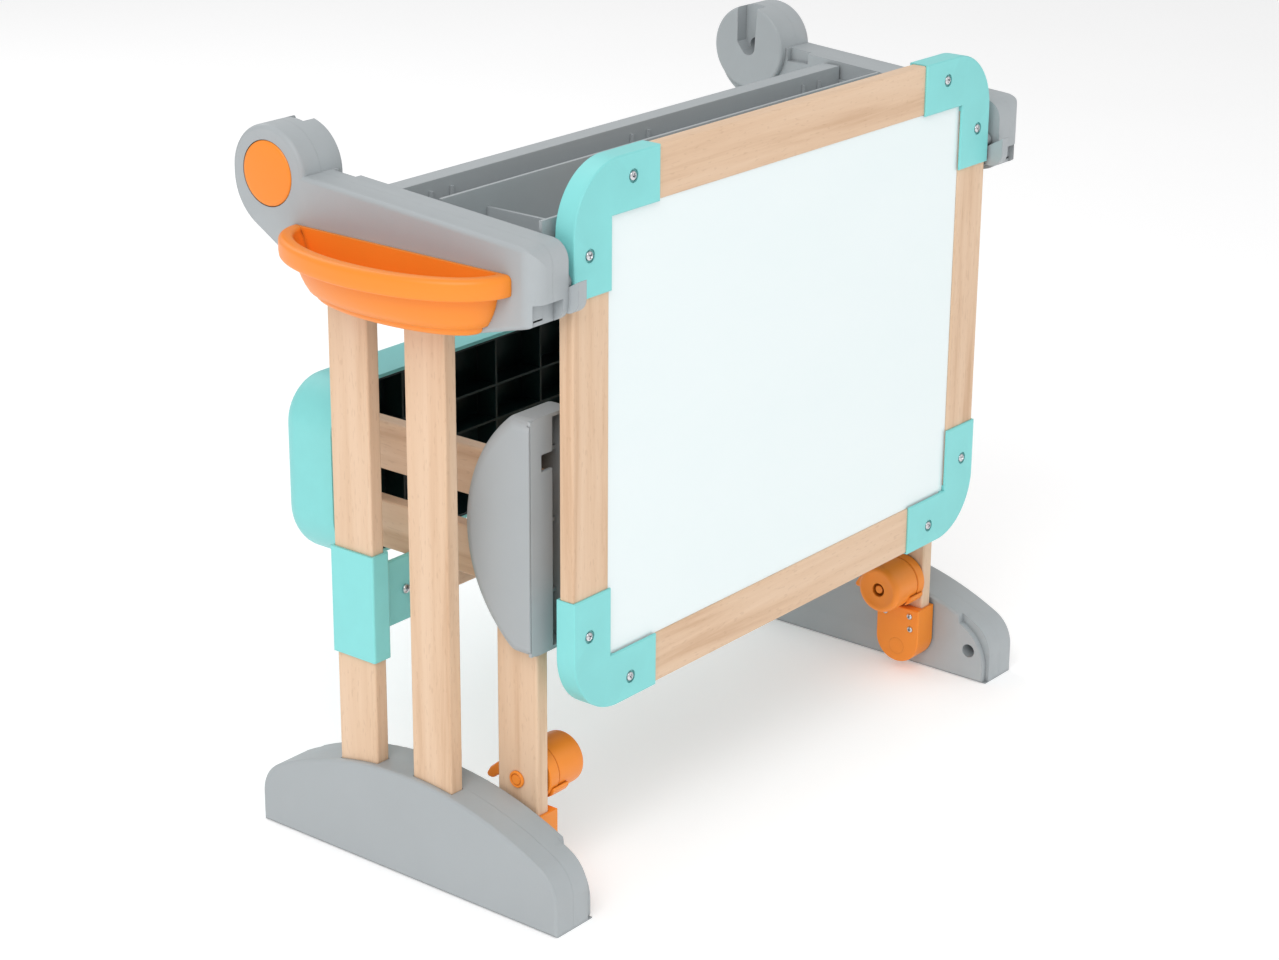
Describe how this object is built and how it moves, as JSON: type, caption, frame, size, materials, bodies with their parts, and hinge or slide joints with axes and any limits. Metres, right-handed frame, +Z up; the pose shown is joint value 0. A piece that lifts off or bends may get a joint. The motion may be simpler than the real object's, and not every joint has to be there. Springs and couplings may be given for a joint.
{
  "type": "kids easel",
  "caption": "Folding childrens easel and desk: board hung on cradles between two side arms, storage tray and baskets, and a bench that swings out from behind.",
  "frame": {"origin": "on the floor, under the middle of the object's box", "axes": "+X to the object's right side, -Y to the front where the board hangs, +Z up"},
  "size_m": [0.797, 0.3434, 0.6103],
  "materials": {
    "beech": "satin",
    "grey_plastic": "fine moulded grain",
    "teal_plastic": "fine moulded grain",
    "orange_plastic": "satin moulded",
    "dark_plastic": "satin moulded",
    "whiteboard": "gloss laminate",
    "chalkboard": "matt chalk surface",
    "screw_steel": "zinc plated"
  },
  "bodies": {
    "frame": {"foot_outer_shell_left": "grey_plastic", "foot_outer_shell_right": "grey_plastic", "foot_inner_shell_left": "grey_plastic", "foot_inner_shell_right": "grey_plastic", "foot_screws": "screw_steel", "post_rear_left": "beech", "post_rear_right": "beech", "post_front_left": "beech", "post_front_right": "beech", "arm_outer_shell_left": "grey_plastic", "arm_outer_shell_right": "grey_plastic", "arm_inner_shell_left": "grey_plastic", "arm_inner_shell_right": "grey_plastic", "tray": "grey_plastic", "cross_rail": "beech", "rail_bracket_left": "teal_plastic", "rail_bracket_right": "teal_plastic", "rail_bracket_screws": "screw_steel", "basket_left": "orange_plastic", "basket_right": "orange_plastic", "bench_pivot_pin_left": "orange_plastic", "bench_pivot_pin_right": "orange_plastic"},
    "board": {"board_rail_top": "beech", "board_rail_bottom": "beech", "board_stile_left": "beech", "board_stile_right": "beech", "board_corner_top_left": "teal_plastic", "board_corner_top_right": "teal_plastic", "board_corner_bottom_left": "teal_plastic", "board_corner_bottom_right": "teal_plastic", "board_corner_screws": "screw_steel", "whiteboard_panel": "whiteboard", "chalkboard_panel": "chalkboard", "board_trunnion_left": "grey_plastic", "board_trunnion_right": "grey_plastic"},
    "bench": {"bench_arm_left": "beech", "bench_arm_right": "beech", "bench_bracket_left": "orange_plastic", "bench_bracket_right": "orange_plastic", "bench_screws": "screw_steel", "bench_foot_outer_left": "grey_plastic", "bench_foot_outer_right": "grey_plastic", "bench_foot_inner_left": "grey_plastic", "bench_foot_inner_right": "grey_plastic", "bench_leg_upper_left": "beech", "bench_leg_upper_right": "beech", "bench_leg_lower_left": "beech", "bench_leg_lower_right": "beech", "bench_seat_shell": "teal_plastic", "bench_seat_grid": "dark_plastic", "latch_axle_left": "orange_plastic", "latch_axle_right": "orange_plastic"},
    "latch_left": {"latch_left": "orange_plastic"},
    "latch_right": {"latch_right": "orange_plastic"},
    "button_left": {"head_button_left": "orange_plastic"},
    "button_right": {"head_button_right": "orange_plastic"}
  },
  "joints": [
    {"name": "bench_unfold", "type": "hinge", "parent": "frame", "child": "bench", "pos_m": [0, -0.08855, 0.0264], "axis": [1, 0, 0], "range_deg": [0, 90]},
    {"name": "board_lift_off", "type": "slide", "parent": "frame", "child": "board", "axis": [0, -0.866, 0.5], "range_m": [0, 0.691]},
    {"name": "latch_left_turn", "type": "hinge", "parent": "bench", "child": "latch_left", "pos_m": [0, -0.08855, 0.095], "axis": [1, 0, 0], "range_deg": [0, 90]},
    {"name": "latch_right_turn", "type": "hinge", "parent": "bench", "child": "latch_right", "pos_m": [0, -0.08855, 0.095], "axis": [1, 0, 0], "range_deg": [0, 90]},
    {"name": "head_button_left_press", "type": "slide", "parent": "frame", "child": "button_left", "axis": [1, 0, 0], "range_m": [0, 0.004], "stiffness_N_per_m": 400},
    {"name": "head_button_right_press", "type": "slide", "parent": "frame", "child": "button_right", "axis": [-1, 0, 0], "range_m": [0, 0.004], "stiffness_N_per_m": 400}
  ],
  "couplings": [
    {"joint": "board_lift_off", "follows": "bench_unfold", "m_per_rad": 0.4393}
  ]
}
